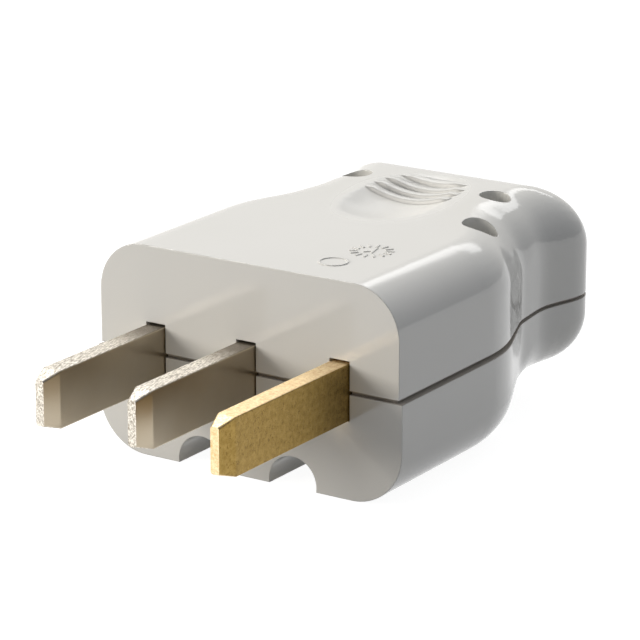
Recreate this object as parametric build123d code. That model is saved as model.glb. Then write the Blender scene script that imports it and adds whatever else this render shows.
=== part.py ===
from build123d import *
import math
import os

os.makedirs("parts", exist_ok=True)

# A heavy cooker plug: two moulded half shells close on three flat blades.
# X runs across the pin face, Y from the blade tips to the cord end, Z up, in millimetres.
# The origin is the middle of the footprint, on the surface that the plug rests on.
# Places along the body are given as a distance back from the pin face.

# Housing outline
body_length = 82.0
front_width = 64.8
front_height = 40.45
rear_rise = 1.35
rise_start = 38.0
rise_end = 62.0
rear_lift = 5.7
lift_start = 43.0
lift_end = 60.0
front_top_radius = 9.6
rear_top_radius = 11.2
front_bottom_radius = 10.5
waist_bottom_radius = 8.0
rear_bottom_radius = 10.8
waist_place = 57.0
top_change_start = 37.0
top_change_end = 48.0
bottom_change_start = 45.0
bottom_change_end = 74.0
end_corner_radius = 10.0
end_top_radius = 13.0
end_bottom_radius = 8.5
end_face_radius = 1.5
shell_step = 0.7
step_end = 60.0

# Plan outline: the sides run straight, then turn at three soft bends to these angles from the body's axis
taper_bend = 37.2
taper_bend_length = 12.0
taper_angle = -21.1
crease_bend = 53.4
crease_bend_length = 4.5
crease_angle = -6.3
flare_bend = 64.2
flare_bend_length = 5.5
flare_angle = 15.0

# Sections that the housing is lofted through
loft_start = 27.0
lead_steps = 2
waist_steps = 18
corner_steps = 5

# Walls and the joint between the shells
wall = 2.8
face_wall = 4.0
parting_height = 20.1
groove_height = 0.7
groove_depth = 0.8
lip_height = 2.0
lip_thickness = 1.2
lip_root = 3.0
fit_gap = 0.15

# Blades
blade_pitch = 20.0
blade_thickness = 3.85
blade_height = 10.8
supply_reach = 34.6
earth_reach = 38.4
tip_length = 3.7
tip_side_inset = 1.05
tip_edge_inset = 1.15
blade_edge_radius = 0.3
tip_corner_radius = 0.5
slot_side_gap = 0.2
slot_top_gap = 0.4

# Terminals
terminal_start = 12.7
terminal_length = 15.0
terminal_width = 9.6
terminal_height = 13.0
terminal_edge = 0.6
wire_bore = 5.6
wire_bore_depth = 12.0
terminal_screw_size = 5.0
terminal_screw_head = 7.6
terminal_screw_head_height = 3.2
terminal_screw_place = 7.5
thread_gap = 0.05
guard_thickness = 0.5
guard_width = 4.0
guard_tail = 3.0
drive_width = 1.2
drive_depth = 1.4

# Ribs inside
rib_thickness = 2.5
rib_gap = 0.2
partition_thickness = 2.0
pad_width = 6.0
pad_length = 8.0
wire_notch = 7.0

# Case screws and their nuts
waist_screw_offset = 21.4
waist_screw_place = 45.8
rear_screw_spacing = 31.2
rear_screw_place = 61.2
waist_access_hole = 6.7
rear_access_hole = 6.0
case_screw_size = 4.0
case_screw_hole = 4.4
case_screw_head = 5.8
case_screw_head_height = 2.6
case_screw_seat = 27.0
case_boss = 9.4
nut_flats = 7.0
nut_thickness = 3.2
nut_depth = 1.6
nut_gap = 0.1

# Cord inlet and cord clamp
inlet_bore = 14.0
inlet_collar = 2.0
inlet_length = 7.0
clamp_place = 71.0
clamp_length = 7.0
clamp_bore = 12.4
clamp_thickness = 2.6
clamp_ear_thickness = 3.2
clamp_screw_spacing = 24.0
clamp_width = 32.4
clamp_screw_size = 3.5
clamp_screw_length = 14.0
clamp_screw_head = 6.4
clamp_screw_head_height = 2.2
clamp_drive_depth = 0.7
clamp_boss = 7.6

# Keying grooves under the pin face
key_radius = 5.1
key_height = 0.8
key_length = 15.0

# Finger grip in the top
grip_place = 52.5
grip_length = 31.0
grip_width = 18.6
grip_depth = 2.0
grip_rib_count = 4
grip_rib_pitch = 3.35
grip_rib_first = 54.9
grip_rib_width = 1.4
grip_rib_height = 0.8

# Values that follow from the ones above
front_y = (earth_reach - body_length) / 2
split_height = parting_height - groove_height / 2
blade_bottom = parting_height - blade_height / 2
blade_top = parting_height + blade_height / 2
terminal_end = terminal_start + terminal_length
front_rib_start = terminal_start - rib_gap - rib_thickness
rear_rib_start = terminal_end + guard_thickness + rib_gap
terminal_bottom = parting_height - terminal_height / 2
terminal_top = parting_height + terminal_height / 2
guard_top = parting_height + math.sqrt((wire_bore / 2) ** 2 - (guard_width / 2) ** 2) - thread_gap
blade_places = [-blade_pitch, 0, blade_pitch]
case_screws = {
    "waist": (waist_screw_offset, waist_screw_place),
    "rear_left": (-rear_screw_spacing / 2, rear_screw_place),
    "rear_right": (rear_screw_spacing / 2, rear_screw_place),
}
access_holes = {"waist": waist_access_hole, "rear_left": rear_access_hole, "rear_right": rear_access_hole}
clamp_screw_places = [-clamp_screw_spacing / 2, clamp_screw_spacing / 2]
partition_places = [-blade_pitch / 2, blade_pitch / 2]
room = 4 * front_width


def ease(place, start, end):
    """Goes smoothly from 0 at start to 1 at end."""
    share = min(max((place - start) / (end - start), 0), 1)
    return (1 - math.cos(math.pi * share)) / 2


def soft_bend(place, middle, length):
    """Has a slope of 0 before the bend and of 1 after it, and changes evenly along its length."""
    turned = min(max(place - middle + length / 2, 0), length)
    return turned ** 2 / (2 * length) + max(place - middle - length / 2, 0)


def half_width(place):
    taper_slope = math.tan(math.radians(taper_angle))
    crease_slope = math.tan(math.radians(crease_angle))
    flare_slope = math.tan(math.radians(flare_angle))
    width = front_width / 2
    width += taper_slope * soft_bend(place, taper_bend, taper_bend_length)
    width += (crease_slope - taper_slope) * soft_bend(place, crease_bend, crease_bend_length)
    width += (flare_slope - crease_slope) * soft_bend(place, flare_bend, flare_bend_length)
    return width


def top_height(place):
    return front_height + rear_rise * ease(place, rise_start, rise_end)


def base_height(place):
    return rear_lift * ease(place, lift_start, lift_end)


def top_radius(place):
    share = ease(place, top_change_start, top_change_end)
    return front_top_radius + (rear_top_radius - front_top_radius) * share


def bottom_radius(place):
    slimming = (front_bottom_radius - waist_bottom_radius) * ease(place, bottom_change_start, waist_place)
    growth = (rear_bottom_radius - waist_bottom_radius) * ease(place, waist_place, bottom_change_end)
    return front_bottom_radius - slimming + growth


def end_draw(place, radius, inset):
    """How far a rounding at the cord end draws the surface in at this place."""
    reached = min(max(place - (body_length - radius), 0), radius - inset)
    return radius - inset - math.sqrt((radius - inset) ** 2 - reached ** 2)


def shrunk_radius(radius, share):
    """The corner's radius where the end's rounding has drawn this share of itself in."""
    return radius - (radius - end_face_radius) * share


def section_at(place, inset, step):
    """The housing's cross-section, drawn in on every side by the inset and the rounding of the end.

    The step makes it wider at the pin face and fades out towards the cord end.
    """
    side_draw = inset + end_draw(place, end_corner_radius, inset)
    top_draw = end_draw(place, end_top_radius, inset)
    bottom_draw = end_draw(place, end_bottom_radius, inset)
    side = half_width(place) + step * (1 - ease(place, loft_start, step_end)) - side_draw
    low = base_height(place) + inset + bottom_draw
    high = top_height(place) - inset - top_draw
    low_radius = shrunk_radius(bottom_radius(place) - inset, bottom_draw / (end_bottom_radius - inset))
    high_radius = shrunk_radius(top_radius(place) - inset, top_draw / (end_top_radius - inset))
    face = make_face(Polyline((-side, low), (side, low), (side, high), (-side, high), close=True))
    face = fillet(face.vertices().group_by(Axis.Y)[0], low_radius)
    face = fillet(face.vertices().group_by(Axis.Y)[-1], high_radius)
    return Plane(origin=(0, front_y + place, 0), x_dir=(1, 0, 0), z_dir=(0, -1, 0)) * face


def loft_places(inset):
    """Even steps along the waist, which begin before it, then even turns round the end's corner."""
    corner_start = body_length - end_corner_radius
    step = (corner_start - loft_start) / waist_steps
    places = [loft_start + n * step for n in range(-lead_steps, waist_steps)]
    for n in range(corner_steps + 1):
        turn = math.pi / 2 * n / corner_steps
        places.append(corner_start + (end_corner_radius - inset) * math.sin(turn))
    return places


def housing_form(inset, start, step=0):
    """The body's form: a straight block, then a drawn-in waist and a flared, rounded cord end."""
    front = extrude(section_at(loft_start, inset, step), loft_start - start)
    waist = loft([section_at(place, inset, step) for place in loft_places(inset)])
    waist &= block(room, loft_start, body_length + 1, -room, room)
    return front + waist


def plan_prism(inset, start, low, high):
    """The body's plan outline at the parting, drawn in by the inset and raised between two heights."""
    outline = section(housing_form(inset, start), section_by=Plane.XY.offset(split_height))
    return Pos(0, 0, low - split_height) * extrude(outline, high - low, dir=(0, 0, 1))


def block(width, start, end, low, high, x=0):
    middle = (x, front_y + (start + end) / 2, (low + high) / 2)
    return Pos(*middle) * Box(width, end - start, high - low)


def rod(radius, start, end, height, x=0):
    """A round bar that lies along the body."""
    return Pos(x, front_y + (start + end) / 2, height) * Rot(90, 0, 0) * Cylinder(radius, end - start)


def post(radius, x, place, low, high):
    return Pos(x, front_y + place, (low + high) / 2) * Cylinder(radius, high - low)


def layer(low, high):
    return Pos(0, 0, (low + high) / 2) * Box(room, room, high - low)


def blade_openings(low, high):
    """Slots for the blades through the pin face and the front rib."""
    width = blade_thickness + 2 * slot_side_gap
    end = terminal_start
    return [block(width, -1, end, low, high, x) for x in blade_places]


def cross_ribs(low, high):
    front_rib = block(room, front_rib_start, front_rib_start + rib_thickness, low, high)
    rear_rib = block(room, rear_rib_start, rear_rib_start + rib_thickness, low, high)
    return [front_rib, rear_rib]


def partitions(low, high):
    end = rear_rib_start + rib_thickness
    return [block(partition_thickness, face_wall, end, low, high, x) for x in partition_places]


def wire_notches():
    start = rear_rib_start - 1
    end = rear_rib_start + rib_thickness + 1
    return [rod(wire_notch / 2, start, end, parting_height, x) for x in blade_places]


def make_lower_base(cavity):
    outside = housing_form(0, 0, shell_step) & layer(-room, split_height)
    inner = cross_ribs(0, split_height) + partitions(0, split_height)
    for x in blade_places:
        middle = terminal_start + terminal_length / 2
        inner.append(block(pad_width, middle - pad_length / 2, middle + pad_length / 2, 0, terminal_bottom, x))
    for x in partition_places:
        inner.append(rod(key_radius + wall, 0, key_length + wall, key_height, x))
    for x, place in case_screws.values():
        inner.append(post(case_boss / 2, x, place, 0, split_height))
    inner.append(rod(inlet_bore / 2 + inlet_collar, body_length - inlet_length, body_length, parting_height))
    saddle_start = clamp_place - clamp_length / 2
    inner.append(block(clamp_screw_spacing, saddle_start, saddle_start + clamp_length, 0, split_height))
    for x in clamp_screw_places:
        inner.append(post(clamp_boss / 2, x, clamp_place, 0, split_height))
    base = outside - cavity + [item & outside for item in inner]
    base += locating_lip().solids()
    for slot in blade_openings(blade_bottom, room):
        base -= slot
    for notch in wire_notches():
        base -= notch
    for x in partition_places:
        base -= rod(key_radius, -1, key_length, key_height, x)
    base -= rod(inlet_bore / 2, body_length - inlet_length - 1, body_length + 1, parting_height)
    base -= rod(clamp_bore / 2, saddle_start - 1, saddle_start + clamp_length + 1, parting_height)
    for x in clamp_screw_places:
        hole_low = split_height - clamp_screw_length
        base -= post(clamp_screw_size / 2 + thread_gap, x, clamp_place, hole_low, split_height + 1)
    for x, place in case_screws.values():
        base -= post(case_screw_hole / 2, x, place, -1, split_height + 1)
        base -= nut_pocket(x, place)
    return base


def locating_lip():
    """A thin wall on the lower shell that stands up inside the upper one."""
    lip_inset = wall + fit_gap
    lip_top = split_height + lip_height
    lip_low = split_height - lip_root
    hollow = plan_prism(lip_inset + lip_thickness, face_wall, lip_low - 1, lip_top + 1)
    lip = plan_prism(lip_inset, face_wall, lip_low, lip_top) - hollow
    root = plan_prism(wall - fit_gap, face_wall, lip_low, split_height) - hollow
    return (lip + root) & block(room, terminal_start, body_length - inlet_length, lip_low, lip_top)


def hexagon(flats):
    return RegularPolygon(flats / 2, 6, major_radius=False)


def nut_pocket(x, place):
    depth = base_height(place) + nut_depth + nut_thickness
    prism = extrude(hexagon(nut_flats + 2 * nut_gap), depth + 1)
    return Pos(x, front_y + place, -1) * prism


def make_upper_cover(cavity):
    above = layer(split_height, room)
    outside = housing_form(0, 0) & above
    rib_low = split_height + rib_gap
    inner = cross_ribs(rib_low, room) + partitions(rib_low, room)
    inner.append(rod(inlet_bore / 2 + inlet_collar, body_length - inlet_length, body_length, parting_height))
    inner.append(grip_form(wall))
    for x, place in case_screws.values():
        inner.append(post(case_boss / 2, x, place, split_height, room))
    lip_room_top = split_height + lip_height + fit_gap
    lip_room_inset = wall + lip_thickness + 2 * fit_gap
    lip_room = layer(0, lip_room_top) - plan_prism(lip_room_inset, face_wall, 0, lip_room_top + 1)
    cover = outside - cavity + [(item - lip_room) & outside for item in inner]
    for slot in blade_openings(0, blade_top + slot_top_gap):
        cover -= slot
    for notch in wire_notches():
        cover -= notch
    cover -= rod(inlet_bore / 2, body_length - inlet_length - 1, body_length + 1, parting_height)
    for name, (x, place) in case_screws.items():
        cover -= post(case_screw_hole / 2, x, place, split_height - 1, room)
        cover -= post(access_holes[name] / 2, x, place, case_screw_seat, room)
    groove_top = split_height + groove_height
    cover -= layer(split_height - 1, groove_top) - plan_prism(groove_depth, groove_depth, 0, groove_top + 1)
    cover -= grip_form(0)
    cover += grip_ribs() & outside
    return cover


def grip_form(thickening):
    """The round-ended trough of a finger grip along the rising top, made thicker for the wall under it."""
    radius = ((grip_width / 2) ** 2 + grip_depth ** 2) / (2 * grip_depth)
    straight = grip_length - grip_width
    start_height = top_height(grip_place - straight / 2)
    end_height = top_height(grip_place + straight / 2)
    tilt = math.degrees(math.atan2(end_height - start_height, straight))
    form = Rot(90, 0, 0) * Cylinder(radius + thickening, straight)
    for y in (-straight / 2, straight / 2):
        form += Pos(0, y, 0) * Sphere(radius + thickening)
    height = (start_height + end_height) / 2 + radius - grip_depth
    return Pos(0, front_y + grip_place, height) * Rot(tilt, 0, 0) * form


def grip_ribs():
    """Low ridges across the rear of the trough that follow its surface."""
    bars = Part()
    for n in range(grip_rib_count):
        place = grip_rib_first + n * grip_rib_pitch
        bars += block(grip_width, place - grip_rib_width / 2, place + grip_rib_width / 2, 0, room)
    return bars & (grip_form(0) - grip_form(-grip_rib_height))


def make_blade(x, reach):
    """A flat blade with a drawn-in tip and its terminal block in one piece."""
    shoulder = reach - tip_length
    shoulder_plane = Plane(origin=(0, front_y - shoulder, parting_height), x_dir=(1, 0, 0), z_dir=(0, -1, 0))
    tip_plane = Plane(origin=(0, front_y - reach, parting_height), x_dir=(1, 0, 0), z_dir=(0, -1, 0))
    wide = shoulder_plane * RectangleRounded(blade_thickness, blade_height, blade_edge_radius)
    narrow = tip_plane * RectangleRounded(
        blade_thickness - 2 * tip_side_inset, blade_height - 2 * tip_edge_inset, tip_corner_radius)
    bar = extrude(wide, -shoulder - terminal_start - 1)
    tip = loft([wide, narrow], ruled=True)
    head = block(terminal_width, terminal_start, terminal_end, terminal_bottom, terminal_top)
    head = chamfer(head.edges().filter_by(Axis.Y), terminal_edge)
    head -= rod(wire_bore / 2, terminal_end - wire_bore_depth, terminal_end + 1, parting_height)
    screw_place = terminal_start + terminal_screw_place
    hole = post(terminal_screw_size / 2 + thread_gap, 0, screw_place, parting_height, terminal_top + 1)
    return Pos(x, 0, 0) * (bar + tip + head - hole)


def drive_slot(length, x, place, head_top, depth):
    """The slot that a screwdriver turns, across the top of a screw's head."""
    return block(length, place - drive_width / 2, place + drive_width / 2, head_top - depth, head_top + 1, x)


def make_terminal_screw(x):
    place = terminal_start + terminal_screw_place
    head_low = terminal_top + 1.0
    head_high = head_low + terminal_screw_head_height
    tip_low = guard_top
    screw = post(terminal_screw_size / 2, x, place, tip_low, head_low)
    head = post(terminal_screw_head / 2, x, place, head_low, head_high)
    return screw + head - drive_slot(terminal_screw_head, x, place, head_high, drive_depth)


def make_wire_guard(x):
    """A leaf that lies under the screw's tip, with a tail bent up behind the block."""
    start = terminal_end - wire_bore_depth + fit_gap
    end = terminal_end + guard_thickness
    leaf = block(guard_width, start, end, guard_top - guard_thickness, guard_top, x)
    tail_high = guard_top + guard_tail
    tail = block(guard_width, terminal_end, end, guard_top - guard_thickness, tail_high, x)
    return leaf + tail


def make_case_screw(x, place):
    shank_low = base_height(place) + nut_depth
    shank = post(case_screw_size / 2, x, place, shank_low, case_screw_seat)
    head_top = case_screw_seat + case_screw_head_height
    head = post(case_screw_head / 2, x, place, case_screw_seat, head_top)
    return shank + head - drive_slot(case_screw_head, x, place, head_top, drive_depth)


def make_case_nut(x, place):
    nut = extrude(hexagon(nut_flats), nut_thickness)
    low = base_height(place) + nut_depth
    nut = Pos(x, front_y + place, low) * nut
    return nut - post(case_screw_size / 2 + thread_gap, x, place, low - 1, low + nut_thickness + 1)


def make_cord_clamp():
    """A saddle that bridges the cord, with a flat ear on each side."""
    low = split_height
    start = clamp_place - clamp_length / 2
    end = clamp_place + clamp_length / 2
    arch = rod(clamp_bore / 2 + clamp_thickness, start, end, parting_height)
    ears = block(clamp_width, start, end, low, low + clamp_ear_thickness)
    clamp = (arch + ears) & layer(low, room)
    clamp -= rod(clamp_bore / 2, start - 1, end + 1, parting_height)
    for x in clamp_screw_places:
        clamp -= post(clamp_screw_size / 2 + fit_gap, x, clamp_place, low - 1, low + clamp_ear_thickness + 1)
    return clamp


def make_clamp_screw(x):
    seat = split_height + clamp_ear_thickness
    shank = post(clamp_screw_size / 2, x, clamp_place, split_height - clamp_screw_length + fit_gap, seat)
    head_top = seat + clamp_screw_head_height
    head = post(clamp_screw_head / 2, x, clamp_place, seat, head_top)
    return shank + head - drive_slot(clamp_screw_head, x, clamp_place, head_top, clamp_drive_depth)


cavity = housing_form(wall, face_wall)
pieces = {"lower_base": make_lower_base(cavity), "upper_cover": make_upper_cover(cavity)}
supply_blades = {"line": -blade_pitch, "neutral": 0}
for name, x in supply_blades.items():
    pieces[name + "_blade"] = make_blade(x, supply_reach)
pieces["earth_blade"] = make_blade(blade_pitch, earth_reach)
for name, x in (*supply_blades.items(), ("earth", blade_pitch)):
    pieces[name + "_terminal_screw"] = make_terminal_screw(x)
    pieces[name + "_wire_guard"] = make_wire_guard(x)
for name, (x, place) in case_screws.items():
    pieces["case_screw_" + name] = make_case_screw(x, place)
    pieces["case_nut_" + name] = make_case_nut(x, place)
pieces["cord_clamp"] = make_cord_clamp()
for name, x in zip(("left", "right"), clamp_screw_places):
    pieces["clamp_screw_" + name] = make_clamp_screw(x)
for name, shape in pieces.items():
    export_step(shape, f"parts/{name}.step")
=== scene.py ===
import math

import bmesh
import bpy
from mathutils import Euler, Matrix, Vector


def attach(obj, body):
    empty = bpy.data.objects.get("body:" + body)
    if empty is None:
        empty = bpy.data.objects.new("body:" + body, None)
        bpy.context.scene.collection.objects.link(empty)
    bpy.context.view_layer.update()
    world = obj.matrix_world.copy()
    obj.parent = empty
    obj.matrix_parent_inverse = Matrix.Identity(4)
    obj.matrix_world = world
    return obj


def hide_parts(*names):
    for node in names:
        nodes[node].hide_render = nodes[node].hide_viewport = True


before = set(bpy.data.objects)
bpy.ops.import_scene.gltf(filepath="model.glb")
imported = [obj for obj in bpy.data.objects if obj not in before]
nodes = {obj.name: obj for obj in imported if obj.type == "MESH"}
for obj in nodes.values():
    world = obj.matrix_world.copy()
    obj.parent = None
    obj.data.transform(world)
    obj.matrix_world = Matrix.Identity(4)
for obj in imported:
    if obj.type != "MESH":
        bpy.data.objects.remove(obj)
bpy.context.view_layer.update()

mm = 0.001
print("frame loaded:", len(nodes), "nodes")


def hexToLinear(code):  # sRGB hex to the linear colour that the shaders read
    channels = [int(code[i:i + 2], 16) / 255 for i in (1, 3, 5)]
    linear = [c / 12.92 if c <= 0.04045 else ((c + 0.055) / 1.055) ** 2.4 for c in channels]
    return (*linear, 1.0)


def newObject(name, data):
    thing = bpy.data.objects.new(name, data)
    bpy.context.scene.collection.objects.link(thing)
    return thing


# One node with its settings, values and links. An input goes by its name, or by its number as in i0
def addNode(tree, kind, settings=None, **inputs):
    node = tree.nodes.new(kind)
    for key, value in (settings or {}).items():
        setattr(node, key, value)
    for key, value in inputs.items():
        byNumber = key[0] == "i" and key[1:].isdigit()
        socket = node.inputs[int(key[1:])] if byNumber else node.inputs[key.replace("_", " ")]
        if isinstance(value, bpy.types.NodeSocket):
            tree.links.new(value, socket)
        else:
            socket.default_value = value
    return node


def newMaterial(name):
    material = bpy.data.materials.new(name)
    material.use_nodes = True
    tree = material.node_tree
    tree.nodes.clear()
    return material, tree


def finishMaterial(tree, shader, bump=None):
    if bump is not None:
        tree.links.new(bump.outputs["Normal"], shader.inputs["Normal"])
    out = addNode(tree, "ShaderNodeOutputMaterial")
    tree.links.new(shader.outputs[0], out.inputs["Surface"])


def objectCoords(tree, scale=(1, 1, 1), turn=(0, 0, 0)):
    coords = addNode(tree, "ShaderNodeTexCoord").outputs["Object"]
    mapping = addNode(tree, "ShaderNodeMapping", Vector=coords, Scale=scale, Rotation=turn)
    return mapping.outputs["Vector"]


def noiseOf(tree, place, sizeMm, detail=2.0, rough=0.5):  # noise whose blobs are about sizeMm across
    noise = addNode(
        tree, "ShaderNodeTexNoise", Vector=place, Scale=1 / (sizeMm * mm), Detail=detail,
        Roughness=rough)
    return noise.outputs["Fac"]


def rangeOf(tree, value, fromLow, fromHigh, toLow, toHigh):
    mapped = addNode(
        tree, "ShaderNodeMapRange", i0=value, i1=fromLow, i2=fromHigh, i3=toLow, i4=toHigh)
    return mapped.outputs["Result"]


def mixOf(tree, factor, first, second):  # colours as hex codes or sockets
    ends = [hexToLinear(c) if isinstance(c, str) else c for c in (first, second)]
    mix = addNode(tree, "ShaderNodeMix", {"data_type": "RGBA"}, i0=factor, i6=ends[0], i7=ends[1])
    return mix.outputs[2]


def mathOf(tree, operation, *values):
    inputs = {"i" + str(i): value for i, value in enumerate(values)}
    return addNode(tree, "ShaderNodeMath", {"operation": operation}, **inputs).outputs[0]


def axisOf(tree, vector, axis):
    return addNode(tree, "ShaderNodeSeparateXYZ", Vector=vector).outputs[axis]


# How far a blade's surface has to face sideways to count as one of its two wide faces
shearedValues = {"edgeBelow": 0.62, "faceAbove": 0.86}


def shearedMask(tree):  # 1 on the narrow edges and the tip of a blade, 0 on its two wide rolled faces
    normal = addNode(tree, "ShaderNodeNewGeometry").outputs["Normal"]
    sideways = mathOf(tree, "ABSOLUTE", axisOf(tree, normal, "X"))
    return rangeOf(tree, sideways, shearedValues["edgeBelow"], shearedValues["faceAbove"], 1.0, 0.0)


# Housing: off-white ABS from a polished mould, a clean gloss over the faintest ripple. Edges catch
# the light along a fine rounding, which is wider where the finger grip flows into the top, and the
# grip itself was left satin, so that a finger holds. The joint groove is painted darker and browner than
# the wall, as painted shade with a little kitchen grime, and this painted shade reaches a hair past its
# edges
housingValues = {
    "colour": "#E4E2DC",
    "shadeColour": "#DEDCD5",
    "grooveShadeAndGrimeColour": "#BAB3A9",
    "ior": 1.53,
    "roughness": 0.11,
    "rippleMm": 9.0,
    "rippleDepthMm": 0.004,
    "cloudMm": 26.0,
    "partingMm": 20.1,
    "grooveHalfMm": 0.46,
    "grooveFade": 0.85,
    "edgeMm": 0.3,
    "edgeSamples": 8,
    "gripRoughness": 0.32,
    "gripEdgeMm": 1.1,
    "gripCentreMm": (0.0, 30.7, 40.0),
    "gripReachMm": (13.0, 19.0, 30.0),
    "gripFade": (0.85, 1.05),
}


def absMouldedGloss():
    v = housingValues
    material, tree = newMaterial("abs_moulded_gloss_offwhite")
    place = objectCoords(tree)
    wall = mixOf(tree, noiseOf(tree, place, v["cloudMm"]), v["colour"], v["shadeColour"])
    # Painted shade, with a little grime, darkens a band along the joint groove, a hair wider than the
    # groove
    above = mathOf(tree, "SUBTRACT", axisOf(tree, place, "Z"), v["partingMm"] * mm)
    half = v["grooveHalfMm"] * mm
    grooveShadeAndGrime = rangeOf(tree, mathOf(tree, "ABSOLUTE", above), half * v["grooveFade"], half, 1.0, 0.0)
    colour = mixOf(tree, grooveShadeAndGrime, wall, v["grooveShadeAndGrimeColour"])
    fromGrip = addNode(
        tree, "ShaderNodeVectorMath", {"operation": "SUBTRACT"}, i0=place,
        i1=[c * mm for c in v["gripCentreMm"]])
    shareOfGrip = addNode(
        tree, "ShaderNodeVectorMath", {"operation": "DIVIDE"}, i0=fromGrip.outputs[0],
        i1=[c * mm for c in v["gripReachMm"]])
    reach = addNode(tree, "ShaderNodeVectorMath", {"operation": "LENGTH"}, i0=shareOfGrip.outputs[0])
    offGrip = rangeOf(tree, reach.outputs["Value"], *v["gripFade"], 0.0, 1.0)
    radius = rangeOf(tree, offGrip, 0.0, 1.0, v["gripEdgeMm"] * mm, v["edgeMm"] * mm)
    roughness = rangeOf(tree, offGrip, 0.0, 1.0, v["gripRoughness"], v["roughness"])
    edge = addNode(tree, "ShaderNodeBevel", {"samples": v["edgeSamples"]}, Radius=radius)
    ripple = addNode(
        tree, "ShaderNodeBump", Strength=1.0, Distance=v["rippleDepthMm"] * mm,
        Height=noiseOf(tree, place, v["rippleMm"]), Normal=edge.outputs["Normal"])
    shader = addNode(
        tree, "ShaderNodeBsdfPrincipled", Base_Color=colour, Roughness=roughness, IOR=v["ior"])
    finishMaterial(tree, shader, ripple)
    return material


# Blades of the two poles: stamped brass, nickel plated. The wide faces are rolled to a soft satin,
# and the sheared edges and the coined tip are coarse, painted bright with glints that fade into painted
# shade towards the body
platedValues = {
    "faceColour": "#C4BAA9",
    "warmColour": "#B0A187",
    "edgeGlintColour": "#F1EBE0",
    "fleckColour": "#958C7D",
    "rootShadeColour": "#8D8477",
    "faceRoughness": 0.3,
    "edgeRoughness": 0.46,
    "fleckMm": 0.5,
    "fleckStretch": (1.7, 0.5, 1.2),
    "fleckTurnDeg": 35,
    "fleckBand": (0.36, 0.6),
    "smearMm": 12.0,
    "brightFromMm": -36.0,
    "brightToMm": -26.0,
    "faceBump": 0.05,
    "edgeBump": 0.8,
    "bumpDepthMm": 0.12,
}


def nickelPlatedBrass():
    v = platedValues
    material, tree = newMaterial("nickel_plated_stamped_brass")
    place = objectCoords(tree)
    slanted = objectCoords(tree, v["fleckStretch"], (0.0, 0.0, math.radians(v["fleckTurnDeg"])))
    flecks = noiseOf(tree, slanted, v["fleckMm"], detail=4.0, rough=0.62)
    smear = noiseOf(tree, place, v["smearMm"], detail=3.0)
    face = mixOf(tree, smear, v["faceColour"], v["warmColour"])
    # Painted glints on the edges with dark specks between them, and painted shade on the edges towards
    # the body
    fleckMask = rangeOf(tree, flecks, *v["fleckBand"], 1.0, 0.0)
    glintEdge = mixOf(tree, fleckMask, v["edgeGlintColour"], v["fleckColour"])
    along = axisOf(tree, place, "Y")
    shadeNearBody = rangeOf(tree, along, v["brightFromMm"] * mm, v["brightToMm"] * mm, 0.0, 1.0)
    edge = mixOf(tree, shadeNearBody, glintEdge, v["rootShadeColour"])
    sheared = shearedMask(tree)
    colour = mixOf(tree, sheared, face, edge)
    strength = rangeOf(tree, sheared, 0.0, 1.0, v["faceBump"], v["edgeBump"])
    roughness = rangeOf(tree, sheared, 0.0, 1.0, v["faceRoughness"], v["edgeRoughness"])
    bump = addNode(
        tree, "ShaderNodeBump", Strength=strength, Distance=v["bumpDepthMm"] * mm, Height=flecks)
    shader = addNode(
        tree, "ShaderNodeBsdfPrincipled", Base_Color=colour, Metallic=1.0, Roughness=roughness)
    finishMaterial(tree, shader, bump)
    return material


# Earth blade: bare stamped brass, tumbled and handled, so pitted and satin, its sheared edges warmer,
# and painted much lighter still in specks as glints
brassValues = {
    "faceColour": "#AE9254",
    "darkColour": "#93783F",
    "pitColour": "#7A6132",
    "edgeGlintColour": "#FBE6BC",
    "edgeDarkColour": "#DFBC84",
    "roughness": 0.42,
    "pitMm": 0.6,
    "pitBand": (0.36, 0.46),
    "pitShare": 0.8,
    "pitBump": 0.7,
    "pitDepthMm": 0.12,
    "grainMm": 0.28,
    "grainBump": 0.4,
    "grainDepthMm": 0.02,
    "cloudMm": 1.1,
    "cloudBand": (0.35, 0.65),
    "edgeBand": (0.35, 0.6),
}


def stampedBareBrass():
    v = brassValues
    material, tree = newMaterial("bare_stamped_brass")
    place = objectCoords(tree)
    pits = noiseOf(tree, place, v["pitMm"], detail=5.0, rough=0.7)
    grain = noiseOf(tree, place, v["grainMm"])
    clouds = noiseOf(tree, place, v["cloudMm"], detail=5.0, rough=0.7)
    mottle = rangeOf(tree, clouds, *v["cloudBand"], 0.0, 1.0)
    rolled = mixOf(tree, mottle, v["faceColour"], v["darkColour"])
    pitMask = rangeOf(tree, pits, *v["pitBand"], v["pitShare"], 0.0)
    face = mixOf(tree, pitMask, rolled, v["pitColour"])
    # Painted glints: the sheared edges and the top are speckled much lighter than the faces
    edgeMask = rangeOf(tree, pits, *v["edgeBand"], 0.0, 1.0)
    edge = mixOf(tree, edgeMask, v["edgeDarkColour"], v["edgeGlintColour"])
    colour = mixOf(tree, shearedMask(tree), face, edge)
    coarse = addNode(
        tree, "ShaderNodeBump", Strength=v["pitBump"], Distance=v["pitDepthMm"] * mm, Height=pits)
    fine = addNode(
        tree, "ShaderNodeBump", Strength=v["grainBump"], Distance=v["grainDepthMm"] * mm,
        Height=grain, Normal=coarse.outputs["Normal"])
    shader = addNode(
        tree, "ShaderNodeBsdfPrincipled", Base_Color=colour, Metallic=1.0,
        Roughness=v["roughness"])
    finishMaterial(tree, shader, fine)
    return material


# Screws, nuts and leaves: zinc plated steel, a bright even grey with fine turning marks
steelValues = {
    "colour": "#C9CBCC",
    "roughness": (0.24, 0.42),
    "grainMm": 0.5,
    "grainBump": 0.4,
    "grainDepthMm": 0.03,
}


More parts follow.
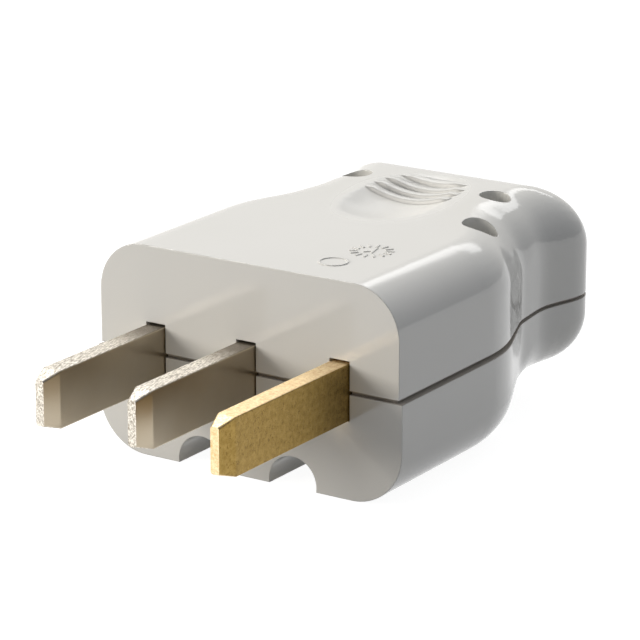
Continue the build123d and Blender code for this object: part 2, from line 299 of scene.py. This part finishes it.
def zincPlatedSteel():
    v = steelValues
    material, tree = newMaterial("zinc_plated_steel")
    grain = noiseOf(tree, objectCoords(tree), v["grainMm"], detail=3.0)
    roughness = rangeOf(tree, grain, 0.0, 1.0, *v["roughness"])
    bump = addNode(
        tree, "ShaderNodeBump", Strength=v["grainBump"], Distance=v["grainDepthMm"] * mm,
        Height=grain)
    shader = addNode(
        tree, "ShaderNodeBsdfPrincipled", Base_Color=hexToLinear(v["colour"]), Metallic=1.0,
        Roughness=roughness)
    finishMaterial(tree, shader, bump)
    return material


# Cord clamp: glass-filled nylon, matt where the mould was left as cut
clampValues = {
    "colour": "#CFCDC6",
    "roughness": 0.55,
    "grainMm": 0.6,
    "grainBump": 0.5,
    "grainDepthMm": 0.04,
}


def mouldedNylon():
    v = clampValues
    material, tree = newMaterial("nylon_moulded_matt")
    grain = noiseOf(tree, objectCoords(tree), v["grainMm"], detail=3.0)
    bump = addNode(
        tree, "ShaderNodeBump", Strength=v["grainBump"], Distance=v["grainDepthMm"] * mm,
        Height=grain)
    shader = addNode(
        tree, "ShaderNodeBsdfPrincipled", Base_Color=hexToLinear(v["colour"]),
        Roughness=v["roughness"])
    finishMaterial(tree, shader, bump)
    return material


# The shells and blades are shown by welded copies of their solids, smooth across small roundings
# and crisp at hole rims and end faces
copyValues = {"weldMm": 0.0005, "creaseDeg": 50}


def smoothCopy(nodeName, material, slotName):
    v = copyValues
    mesh = nodes[nodeName].data.copy()
    mesh.name = nodeName + "_finish"
    work = bmesh.new()
    work.from_mesh(mesh)
    bmesh.ops.remove_doubles(work, verts=work.verts, dist=v["weldMm"] * mm)
    work.to_mesh(mesh)
    work.free()
    if "custom_normal" in mesh.attributes:  # made for the loose triangles, so wrong once welded
        mesh.attributes.remove(mesh.attributes["custom_normal"])
    mesh.materials.clear()
    mesh.materials.append(material)
    mesh.shade_smooth()
    mesh.set_sharp_from_angle(angle=math.radians(v["creaseDeg"]))
    piece = newObject(nodeName + "_finish", mesh)
    even = piece.modifiers.new("even_normals", "WEIGHTED_NORMAL")
    even.keep_sharp = True
    even.mode = "FACE_AREA_WITH_ANGLE"
    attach(piece, "root")
    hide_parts(nodeName)


plastic = absMouldedGloss()
plated = nickelPlatedBrass()
brass = stampedBareBrass()
steel = zincPlatedSteel()
nylon = mouldedNylon()
shown = {
    "upper_cover": (plastic, "housing"),
    "lower_base": (plastic, "housing"),
    "line_blade": (plated, "plated_blade"),
    "neutral_blade": (plated, "plated_blade"),
    "earth_blade": (brass, "brass_blade"),
}
for name, node in nodes.items():
    if name in shown:
        smoothCopy(name, *shown[name])
    else:
        finish = nylon if name == "cord_clamp" else steel
        node.data.materials.clear()
        node.data.materials.append(finish)
print("finishes on:", len(nodes), "pieces")

# Moulder's date ring: raised ticks round an arrow, as the mould's date insert leaves them,
# and a plain ring beside it
markValues = {
    "topMm": 40.45,
    "heightMm": 0.22,
    "sunkMm": 0.08,
    "dateRingMm": (14.6, -2.8),
    "ticks": 14,
    "tickRadiusMm": 3.35,
    "tickLengthMm": 1.5,
    "tickWidthMm": 0.42,
    "arrowReachMm": 2.3,
    "arrowHalfMm": 0.9,
    "arrowTail": 0.6,
    "arrowNotch": 0.2,
    "plainRingMm": (12.6, -12.4),
    "plainRadiusMm": 2.6,
    "plainWidthMm": 0.42,
    "plainSteps": 48,
}


def dateRingTree():
    tree = bpy.data.node_groups.new("date_ring", "GeometryNodeTree")
    sockets = {
        "Count": "NodeSocketInt", "Radius": "NodeSocketFloat", "Length": "NodeSocketFloat",
        "Width": "NodeSocketFloat", "Height": "NodeSocketFloat", "Finish": "NodeSocketMaterial"}
    for label, kind in sockets.items():
        tree.interface.new_socket(label, in_out="INPUT", socket_type=kind)
    tree.interface.new_socket("Geometry", in_out="OUTPUT", socket_type="NodeSocketGeometry")
    given = addNode(tree, "NodeGroupInput").outputs
    circle = addNode(
        tree, "GeometryNodeMeshCircle", {"fill_type": "NONE"}, Vertices=given["Count"],
        Radius=given["Radius"])
    size = addNode(
        tree, "ShaderNodeCombineXYZ", X=given["Length"], Y=given["Width"], Z=given["Height"])
    tick = addNode(tree, "GeometryNodeMeshCube", Size=size.outputs[0])
    position = addNode(tree, "GeometryNodeInputPosition")
    facing = addNode(
        tree, "FunctionNodeAlignRotationToVector", {"axis": "X"}, Vector=position.outputs[0])
    copies = addNode(
        tree, "GeometryNodeInstanceOnPoints", Points=circle.outputs[0],
        Instance=tick.outputs["Mesh"], Rotation=facing.outputs[0])
    real = addNode(tree, "GeometryNodeRealizeInstances", Geometry=copies.outputs[0])
    finished = addNode(
        tree, "GeometryNodeSetMaterial", Geometry=real.outputs[0], Material=given["Finish"])
    addNode(tree, "NodeGroupOutput", Geometry=finished.outputs[0])
    return tree


def meshFromTree(tree, settings):  # runs a node tree once and gives back its mesh
    holder = newObject("tree_holder", bpy.data.meshes.new("tree_holder"))
    modifier = holder.modifiers.new("tree", "NODES")
    modifier.node_group = tree
    for item in tree.interface.items_tree:
        if item.item_type == "SOCKET" and item.in_out == "INPUT":
            modifier[item.identifier] = settings[item.name]
    bpy.context.view_layer.update()
    evaluated = holder.evaluated_get(bpy.context.evaluated_depsgraph_get())
    mesh = bpy.data.meshes.new_from_object(evaluated)
    bpy.data.objects.remove(holder)
    return mesh


def plainRing(work, low, high):  # a flat raised ring of square section
    v = markValues
    centre = Vector((*v["plainRingMm"], 0)) * mm
    half = v["plainWidthMm"] / 2
    steps = v["plainSteps"]
    rows = []
    for i in range(steps):
        turn = 2 * math.pi * i / steps
        away = Vector((math.cos(turn), math.sin(turn), 0))
        rows.append([
            work.verts.new(centre + away * (v["plainRadiusMm"] + side * half) * mm + Vector((0, 0, z)))
            for side, z in ((-1, low), (1, low), (1, high), (-1, high))])
    for i in range(steps):
        near, far = rows[i], rows[(i + 1) % steps]
        for k in range(4):
            work.faces.new((near[k], near[(k + 1) % 4], far[(k + 1) % 4], far[k]))


def dateArrow(work, low, high):  # the small raised pointer in the date ring's middle
    v = markValues
    centre = Vector((*v["dateRingMm"], 0)) * mm
    reach, half = v["arrowReachMm"] * mm, v["arrowHalfMm"] * mm
    tail, notch = -reach * v["arrowTail"], -reach * v["arrowNotch"]
    corners = [(0, reach), (-half, tail), (0, notch), (half, tail)]
    bottom = [work.verts.new(centre + Vector((x, y, low))) for x, y in corners]
    top = [work.verts.new(centre + Vector((x, y, high))) for x, y in corners]
    work.faces.new(reversed(bottom))
    work.faces.new(top)
    for k in range(4):
        work.faces.new((bottom[k], bottom[(k + 1) % 4], top[(k + 1) % 4], top[k]))


def buildMarks():
    v = markValues
    low = (v["topMm"] - v["sunkMm"]) * mm
    high = low + v["heightMm"] * mm
    ticks = meshFromTree(dateRingTree(), {
        "Count": v["ticks"], "Radius": v["tickRadiusMm"] * mm, "Length": v["tickLengthMm"] * mm,
        "Width": v["tickWidthMm"] * mm, "Height": v["heightMm"] * mm, "Finish": plastic})
    work = bmesh.new()
    work.from_mesh(ticks)
    ringMiddle = Vector((v["dateRingMm"][0] * mm, v["dateRingMm"][1] * mm, (low + high) / 2))
    for vert in work.verts:
        vert.co += ringMiddle
    dateArrow(work, low, high)
    plainRing(work, low, high)
    bmesh.ops.recalc_face_normals(work, faces=work.faces)
    mesh = bpy.data.meshes.new("moulded_marks")
    work.to_mesh(mesh)
    work.free()
    mesh.materials.append(plastic)
    piece = newObject("moulded_marks", mesh)
    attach(piece, "root")


buildMarks()
print("moulded marks made")

# Stage: a floor that looks white to the camera and in reflections, and keeps the plug's soft shadow.
# Its own grey is what bounces up, so that the lower walls stay in shade as in the picture
stageValues = {"floorColour": "#959594", "lift": 0.93, "halfSizeM": 4.0}


def buildStage():
    v = stageValues
    material, tree = newMaterial("studio_floor_white")
    diffuse = addNode(tree, "ShaderNodeBsdfDiffuse", Color=hexToLinear(v["floorColour"]))
    glow = addNode(tree, "ShaderNodeEmission", Color=hexToLinear("#FFFFFF"), Strength=v["lift"])
    both = addNode(tree, "ShaderNodeAddShader", i0=diffuse.outputs[0], i1=glow.outputs[0])
    path = addNode(tree, "ShaderNodeLightPath").outputs
    seen = mathOf(tree, "MAXIMUM", path["Is Camera Ray"], path["Is Glossy Ray"])
    mix = addNode(
        tree, "ShaderNodeMixShader", i0=seen, i1=diffuse.outputs[0], i2=both.outputs[0])
    finishMaterial(tree, mix)
    mesh = bpy.data.meshes.new("studio_floor")
    s = v["halfSizeM"]
    mesh.from_pydata([(-s, -s, 0), (s, -s, 0), (s, s, 0), (-s, s, 0)], [], [(0, 1, 2, 3)])
    mesh.materials.append(material)
    newObject("studio_floor", mesh)


buildStage()

# Light: a white wall behind on the left and a dim room in front on the right, one softbox overhead,
# a smaller one in front on the left, and a strip behind that draws the long highlights on the roundings.
# Places and sizes are in metres
lightValues = {
    "leftWall": 0.85,
    "rightRoom": 0.265,
    "leftColour": "#FFFDFA",
    "rightColour": "#EDF3FF",
    "dimSide": (0.82, -0.57, 0.0),
    "dimBand": (-0.7, 0.5),
    "aim": (0.0, 0.0, 0.02),
    "lamps": [
        {"name": "overhead_softbox", "colour": "#FFFFFF", "power": 4.1,
         "place": (-0.36, 0.3, 0.88), "size": (0.6, 0.6)},
        {"name": "front_left_softbox", "colour": "#FFFAF3", "power": 2.6,
         "place": (-0.44, -0.5, 0.22), "size": (0.26, 0.26)},
        {"name": "rear_strip", "colour": "#FFFFFF", "power": 0.42,
         "place": (-0.2, 0.85, 0.54), "size": (0.5, 0.11)},
    ],
}


def buildLights():
    v = lightValues
    world = bpy.data.worlds.new("studio_world")
    bpy.context.scene.world = world
    world.use_nodes = True
    tree = world.node_tree
    tree.nodes.clear()
    way = addNode(tree, "ShaderNodeTexCoord").outputs["Generated"]
    across = addNode(tree, "ShaderNodeVectorMath", {"operation": "DOT_PRODUCT"}, i0=way, i1=v["dimSide"])
    side = rangeOf(tree, across.outputs["Value"], *v["dimBand"], 0.0, 1.0)
    level = rangeOf(tree, side, 0.0, 1.0, v["leftWall"], v["rightRoom"])
    colour = mixOf(tree, side, v["leftColour"], v["rightColour"])
    sky = addNode(tree, "ShaderNodeBackground", Color=colour, Strength=level)
    out = addNode(tree, "ShaderNodeOutputWorld")
    tree.links.new(sky.outputs[0], out.inputs["Surface"])
    for spec in v["lamps"]:
        lamp = bpy.data.lights.new(spec["name"], "AREA")
        lamp.shape = "RECTANGLE"
        lamp.size, lamp.size_y = spec["size"]
        lamp.energy = spec["power"]
        lamp.color = hexToLinear(spec["colour"])[:3]
        holder = newObject(spec["name"], lamp)
        holder.location = spec["place"]
        aim = Vector(v["aim"]) - holder.location
        holder.rotation_euler = aim.to_track_quat("-Z", "Y").to_euler()


buildLights()

# Camera: found from the outlines of the plug in the photograph
cameraValues = {
    "azimuthDeg": 33.2818,
    "pitchDeg": 16.9882,
    "lensMm": 183.9347,
    "sensorMm": 36.0,
    "placeMm": (318.527, -482.849, 201.023),
    "clipM": (0.01, 20.0),
}


def buildCamera():
    v = cameraValues
    data = bpy.data.cameras.new("product_camera")
    data.lens = v["lensMm"]
    data.sensor_width = v["sensorMm"]
    data.clip_start, data.clip_end = v["clipM"]
    camera = newObject("product_camera", data)
    camera.location = [c * mm for c in v["placeMm"]]
    camera.rotation_euler = Euler((math.radians(90 - v["pitchDeg"]), 0, math.radians(v["azimuthDeg"])))
    bpy.context.scene.camera = camera


buildCamera()
bpy.context.scene.view_settings.view_transform = "Standard"
print("stage, lights and camera set")
